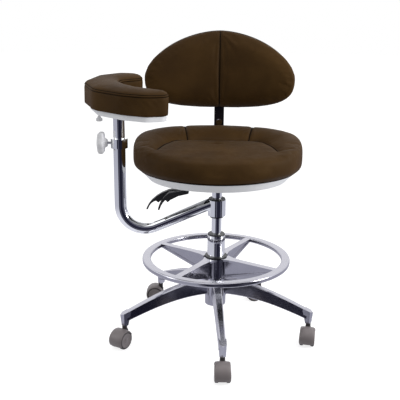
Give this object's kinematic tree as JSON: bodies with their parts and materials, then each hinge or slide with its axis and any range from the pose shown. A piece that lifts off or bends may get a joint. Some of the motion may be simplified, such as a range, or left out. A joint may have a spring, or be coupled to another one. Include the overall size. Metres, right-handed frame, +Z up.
{
  "type": "dentist stool",
  "caption": "Height-adjustable stool on a star base with casters, foot ring, dished leather seat, tilting back and a swing arm with a kidney-shaped arm rest.",
  "frame": {"origin": "on the floor, on the axis of the column", "axes": "+Z up along the column; the seat faces -Y; +X is the sitter's left as they look along -Y, opposite the swing arm"},
  "size_m": [0.6357, 0.594, 0.859],
  "materials": {
    "polished_aluminium": "polished casting",
    "chrome": "bright plated",
    "steel": "machined",
    "brass": "machined",
    "black_plastic": "fine grained",
    "black_steel": "gloss black",
    "white_plastic": "satin white",
    "pale_plastic": "milky",
    "grey_plastic": "satin taupe",
    "tyre": "matt",
    "leather": "soft pebbled, dark brown",
    "plywood": "raw ply"
  },
  "bodies": {
    "base": {"star_base": "polished_aluminium", "caster_sockets": "steel", "outer_column": "chrome", "column_cap": "chrome", "guide_bush": "black_plastic", "thrust_bearing": "steel"},
    "piston": {"piston_rod": "steel"},
    "seat": {"gas_cylinder": "chrome", "seat_mechanism": "black_steel", "seat_board": "plywood", "seat_pan": "white_plastic", "seat_cushion": "leather", "seat_screws": "steel", "lever_pin": "steel", "back_pivot_pin": "steel", "arm_stop_ring": "black_steel"},
    "release_pin": {"release_pin": "brass"},
    "foot_ring": {"foot_ring": "polished_aluminium", "foot_ring_bush": "black_plastic"},
    "foot_ring_knob": {"foot_ring_knob": "black_plastic"},
    "height_lever": {"height_lever": "black_steel", "height_grip": "black_plastic"},
    "back_lever": {"back_lever": "black_steel", "back_grip": "black_plastic"},
    "back_bracket": {"back_bracket": "black_steel", "back_bolt": "chrome"},
    "back": {"back_upright": "black_steel", "back_board": "plywood", "back_shell": "black_plastic", "back_pad": "leather", "back_screws": "steel"},
    "arm": {"arm_collar": "chrome", "arm_collar_bush": "black_plastic", "arm_tube": "chrome", "clamp_collar": "chrome"},
    "clamp_knob": {"clamp_knob": "pale_plastic"},
    "arm_post": {"arm_post": "chrome"},
    "arm_rest": {"arm_plate": "steel", "arm_pan": "white_plastic", "arm_pad": "leather"},
    "pad_lock_knob": {"pad_lock_knob": "pale_plastic"},
    "caster_1": {"caster_1_hood": "grey_plastic", "caster_1_stem": "steel"},
    "caster_1_wheels": {"caster_1_wheels": "tyre"},
    "caster_2": {"caster_2_hood": "grey_plastic", "caster_2_stem": "steel"},
    "caster_2_wheels": {"caster_2_wheels": "tyre"},
    "caster_3": {"caster_3_hood": "grey_plastic", "caster_3_stem": "steel"},
    "caster_3_wheels": {"caster_3_wheels": "tyre"},
    "caster_4": {"caster_4_hood": "grey_plastic", "caster_4_stem": "steel"},
    "caster_4_wheels": {"caster_4_wheels": "tyre"},
    "caster_5": {"caster_5_hood": "grey_plastic", "caster_5_stem": "steel"},
    "caster_5_wheels": {"caster_5_wheels": "tyre"}
  },
  "joints": [
    {"name": "seat_swivel", "type": "hinge", "parent": "base", "child": "piston", "pos_m": [0, 0, 0.097], "axis": [0, 0, 1], "continuous": true},
    {"name": "seat_height", "type": "slide", "parent": "piston", "child": "seat", "axis": [0, 0, 1], "range_m": [-0.025, 0.095]},
    {"name": "release_press", "type": "slide", "parent": "seat", "child": "release_pin", "axis": [0, 0, 1], "range_m": [-0.0037, 0]},
    {"name": "foot_ring_height", "type": "slide", "parent": "base", "child": "foot_ring", "axis": [0, 0, 1], "range_m": [0, 0.03]},
    {"name": "foot_ring_knob_turn", "type": "hinge", "parent": "foot_ring", "child": "foot_ring_knob", "pos_m": [0, 0, 0.215], "axis": [-0.2419, 0.9703, 0], "range_deg": [-120, 120]},
    {"name": "height_lever_lift", "type": "hinge", "parent": "seat", "child": "height_lever", "pos_m": [-0.03, -0.03, 0.458], "axis": [0, 1, 0], "range_deg": [0, 7], "stiffness_Nm_per_rad": 4, "springref_deg": -3.44},
    {"name": "back_lever_lift", "type": "hinge", "parent": "seat", "child": "back_lever", "pos_m": [-0.03, -0.058, 0.458], "axis": [0, 1, 0], "range_deg": [0, 7], "stiffness_Nm_per_rad": 4, "springref_deg": -3.44},
    {"name": "back_tilt", "type": "hinge", "parent": "seat", "child": "back_bracket", "pos_m": [0, 0.088, 0.456], "axis": [-1, 0, 0], "range_deg": [0, 14]},
    {"name": "back_height", "type": "slide", "parent": "back_bracket", "child": "back", "axis": [0, 0, 1], "range_m": [0, 0.05]},
    {"name": "arm_swing", "type": "hinge", "parent": "seat", "child": "arm", "pos_m": [0, 0, 0.379], "axis": [0, 0, 1], "range_deg": [0, 150]},
    {"name": "clamp_knob_turn", "type": "hinge", "parent": "arm", "child": "clamp_knob", "pos_m": [-0.26589, -0.03737, 0.565], "axis": [-0.9994, -0.0349, 0], "range_deg": [-120, 120]},
    {"name": "arm_rest_height", "type": "slide", "parent": "arm", "child": "arm_post", "axis": [0, 0, 1], "range_m": [-0.02, 0.08]},
    {"name": "arm_rest_turn", "type": "hinge", "parent": "arm_post", "child": "arm_rest", "pos_m": [-0.26589, -0.03737, 0.652], "axis": [0, 0, 1], "range_deg": [-90, 90]},
    {"name": "pad_lock_knob_turn", "type": "hinge", "parent": "arm_rest", "child": "pad_lock_knob", "pos_m": [-0.31289, -0.06737, 0.637], "axis": [0, 0, 1], "range_deg": [-120, 120]},
    {"name": "caster_1_swivel", "type": "hinge", "parent": "base", "child": "caster_1", "pos_m": [0.02379, -0.27196, 0.072], "axis": [0, 0, 1], "continuous": true},
    {"name": "caster_1_roll", "type": "hinge", "parent": "caster_1", "child": "caster_1_wheels", "pos_m": [0.02442, -0.28995, 0.026], "axis": [0.9994, 0.0349, 0], "continuous": true},
    {"name": "caster_2_swivel", "type": "hinge", "parent": "base", "child": "caster_2", "pos_m": [0.266, -0.06141, 0.072], "axis": [0, 0, 1], "continuous": true},
    {"name": "caster_2_roll", "type": "hinge", "parent": "caster_2", "child": "caster_2_wheels", "pos_m": [0.26288, -0.07914, 0.026], "axis": [0.9848, -0.1736, 0], "continuous": true},
    {"name": "caster_3_swivel", "type": "hinge", "parent": "base", "child": "caster_3", "pos_m": [0.14061, 0.23401, 0.072], "axis": [0, 0, 1], "continuous": true},
    {"name": "caster_3_roll", "type": "hinge", "parent": "caster_3", "child": "caster_3_wheels", "pos_m": [0.123, 0.23026, 0.026], "axis": [0.2079, -0.9781, 0], "continuous": true},
    {"name": "caster_4_swivel", "type": "hinge", "parent": "base", "child": "caster_4", "pos_m": [-0.1791, 0.20604, 0.072], "axis": [0, 0, 1], "continuous": true},
    {"name": "caster_4_roll", "type": "hinge", "parent": "caster_4", "child": "caster_4_wheels", "pos_m": [-0.19709, 0.20541, 0.026], "axis": [0.0349, -0.9994, 0], "continuous": true},
    {"name": "caster_5_swivel", "type": "hinge", "parent": "base", "child": "caster_5", "pos_m": [-0.2513, -0.10667, 0.072], "axis": [0, 0, 1], "continuous": true},
    {"name": "caster_5_roll", "type": "hinge", "parent": "caster_5", "child": "caster_5_wheels", "pos_m": [-0.26057, -0.1221, 0.026], "axis": [0.8572, -0.515, 0], "continuous": true}
  ],
  "couplings": [
    {"joint": "release_press", "follows": "height_lever_lift", "m_per_rad": -0.0295}
  ]
}
